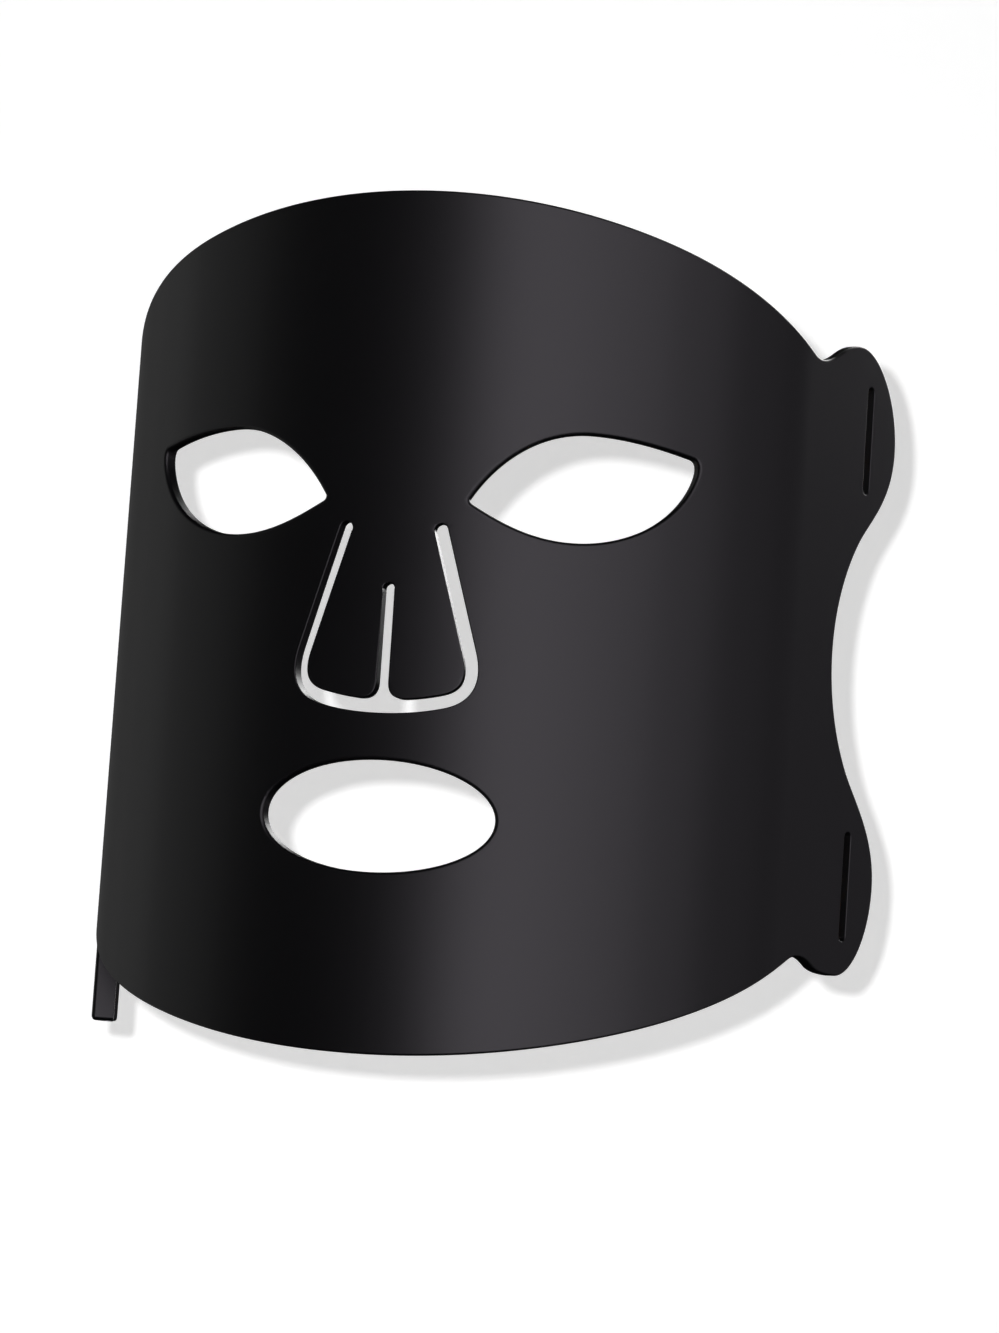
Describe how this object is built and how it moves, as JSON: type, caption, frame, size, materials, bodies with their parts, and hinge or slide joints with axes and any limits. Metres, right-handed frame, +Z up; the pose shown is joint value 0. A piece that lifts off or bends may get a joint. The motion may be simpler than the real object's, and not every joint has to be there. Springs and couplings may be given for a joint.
{
  "type": "led face mask",
  "caption": "Bent silicone face mask with eye, nose and mouth openings, LEDs behind a clear inner liner, slotted strap tabs and a socket for a lead.",
  "frame": {"origin": "on the front face of the cover, on the middle line at half the height of the sheet", "axes": "+X to the viewer's right as the mask is looked at from the front, +Y from the front face towards the wearer's face, +Z up"},
  "size_m": [0.2036, 0.0867, 0.2057],
  "materials": {
    "silicone_black": "satin",
    "silicone_clear": "satin",
    "polyimide": "satin",
    "led_body": "matte",
    "board": "satin",
    "socket_steel": "satin",
    "tongue_plastic": "matte"
  },
  "bodies": {
    "mask": {"cover": "silicone_black", "circuit": "polyimide", "liner": "silicone_clear", "led_01": "led_body", "led_02": "led_body", "led_03": "led_body", "led_04": "led_body", "led_05": "led_body", "led_06": "led_body", "led_07": "led_body", "led_08": "led_body", "led_09": "led_body", "led_10": "led_body", "led_11": "led_body", "led_12": "led_body", "led_13": "led_body", "led_14": "led_body", "led_15": "led_body", "led_16": "led_body", "led_17": "led_body", "led_18": "led_body", "led_19": "led_body", "led_20": "led_body", "led_21": "led_body", "led_22": "led_body", "led_23": "led_body", "led_24": "led_body", "led_25": "led_body", "led_26": "led_body", "led_27": "led_body", "led_28": "led_body", "led_29": "led_body", "led_30": "led_body", "led_31": "led_body", "led_32": "led_body", "led_33": "led_body", "led_34": "led_body", "led_35": "led_body", "led_36": "led_body", "led_37": "led_body", "led_38": "led_body", "led_39": "led_body", "led_40": "led_body", "led_41": "led_body", "led_42": "led_body", "inlet_housing": "silicone_black", "inlet_lid": "silicone_black", "inlet_board": "board", "inlet_socket": "socket_steel", "inlet_tongue": "tongue_plastic"},
    "flap_left": {"nose_flap_left": "silicone_black"},
    "flap_right": {"nose_flap_right": "silicone_black"}
  },
  "joints": [
    {"name": "flap_left_bend", "type": "hinge", "parent": "mask", "child": "flap_left", "pos_m": [-0.00145, 0.00001, 0.00685], "axis": [-0.5422, 0.0279, 0.8398], "range_deg": [0, 25], "stiffness_Nm_per_rad": 0.008},
    {"name": "flap_right_bend", "type": "hinge", "parent": "mask", "child": "flap_right", "pos_m": [0.00145, 0.00001, 0.00685], "axis": [-0.5422, -0.0279, -0.8398], "range_deg": [0, 25], "stiffness_Nm_per_rad": 0.008}
  ]
}
